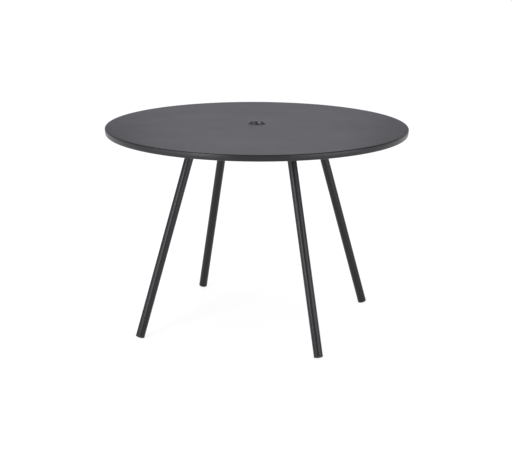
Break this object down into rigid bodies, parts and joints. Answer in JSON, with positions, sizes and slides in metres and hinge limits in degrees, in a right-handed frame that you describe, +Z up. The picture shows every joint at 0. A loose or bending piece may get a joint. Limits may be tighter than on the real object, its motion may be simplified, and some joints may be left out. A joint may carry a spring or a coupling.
{
  "type": "round patio table",
  "caption": "Round metal garden table with a slightly crowned top, splayed tube legs on screw-out glides and a central hole for an umbrella pole.",
  "frame": {"origin": "on the floor, under the middle of the top", "axes": "+Z up, +Y towards the back, +X to the right; the legs stand on the diagonals"},
  "size_m": [1.1, 1.1, 0.7535],
  "materials": {
    "powder_coat": "satin",
    "bush_plastic": "satin",
    "black_plastic": "matte",
    "stainless_steel": "satin",
    "zinc_steel": "satin"
  },
  "bodies": {
    "root": {"table_top": "powder_coat", "hub_ring": "powder_coat", "leg_back_right": "powder_coat", "leg_plate_back_right": "powder_coat", "frame_arm_back_right": "powder_coat", "foot_insert_back_right": "black_plastic", "leg_back_left": "powder_coat", "leg_plate_back_left": "powder_coat", "frame_arm_back_left": "powder_coat", "foot_insert_back_left": "black_plastic", "leg_front_left": "powder_coat", "leg_plate_front_left": "powder_coat", "frame_arm_front_left": "powder_coat", "foot_insert_front_left": "black_plastic", "leg_front_right": "powder_coat", "leg_plate_front_right": "powder_coat", "frame_arm_front_right": "powder_coat", "foot_insert_front_right": "black_plastic", "umbrella_bush": "bush_plastic", "umbrella_nut": "bush_plastic", "leg_screws": "stainless_steel", "leg_washers": "stainless_steel", "weld_nuts": "zinc_steel"},
    "glide_back_right": {"glide_head_back_right": "black_plastic", "glide_stud_back_right": "zinc_steel"},
    "glide_back_left": {"glide_head_back_left": "black_plastic", "glide_stud_back_left": "zinc_steel"},
    "glide_front_left": {"glide_head_front_left": "black_plastic", "glide_stud_front_left": "zinc_steel"},
    "glide_front_right": {"glide_head_front_right": "black_plastic", "glide_stud_front_right": "zinc_steel"}
  },
  "joints": [
    {"name": "level_back_right", "type": "slide", "parent": "root", "child": "glide_back_right", "axis": [0.2115, 0.2115, -0.9542], "range_m": [0, 0.01]},
    {"name": "level_back_left", "type": "slide", "parent": "root", "child": "glide_back_left", "axis": [-0.2115, 0.2115, -0.9542], "range_m": [0, 0.01]},
    {"name": "level_front_left", "type": "slide", "parent": "root", "child": "glide_front_left", "axis": [-0.2115, -0.2115, -0.9542], "range_m": [0, 0.01]},
    {"name": "level_front_right", "type": "slide", "parent": "root", "child": "glide_front_right", "axis": [0.2115, -0.2115, -0.9542], "range_m": [0, 0.01]}
  ]
}
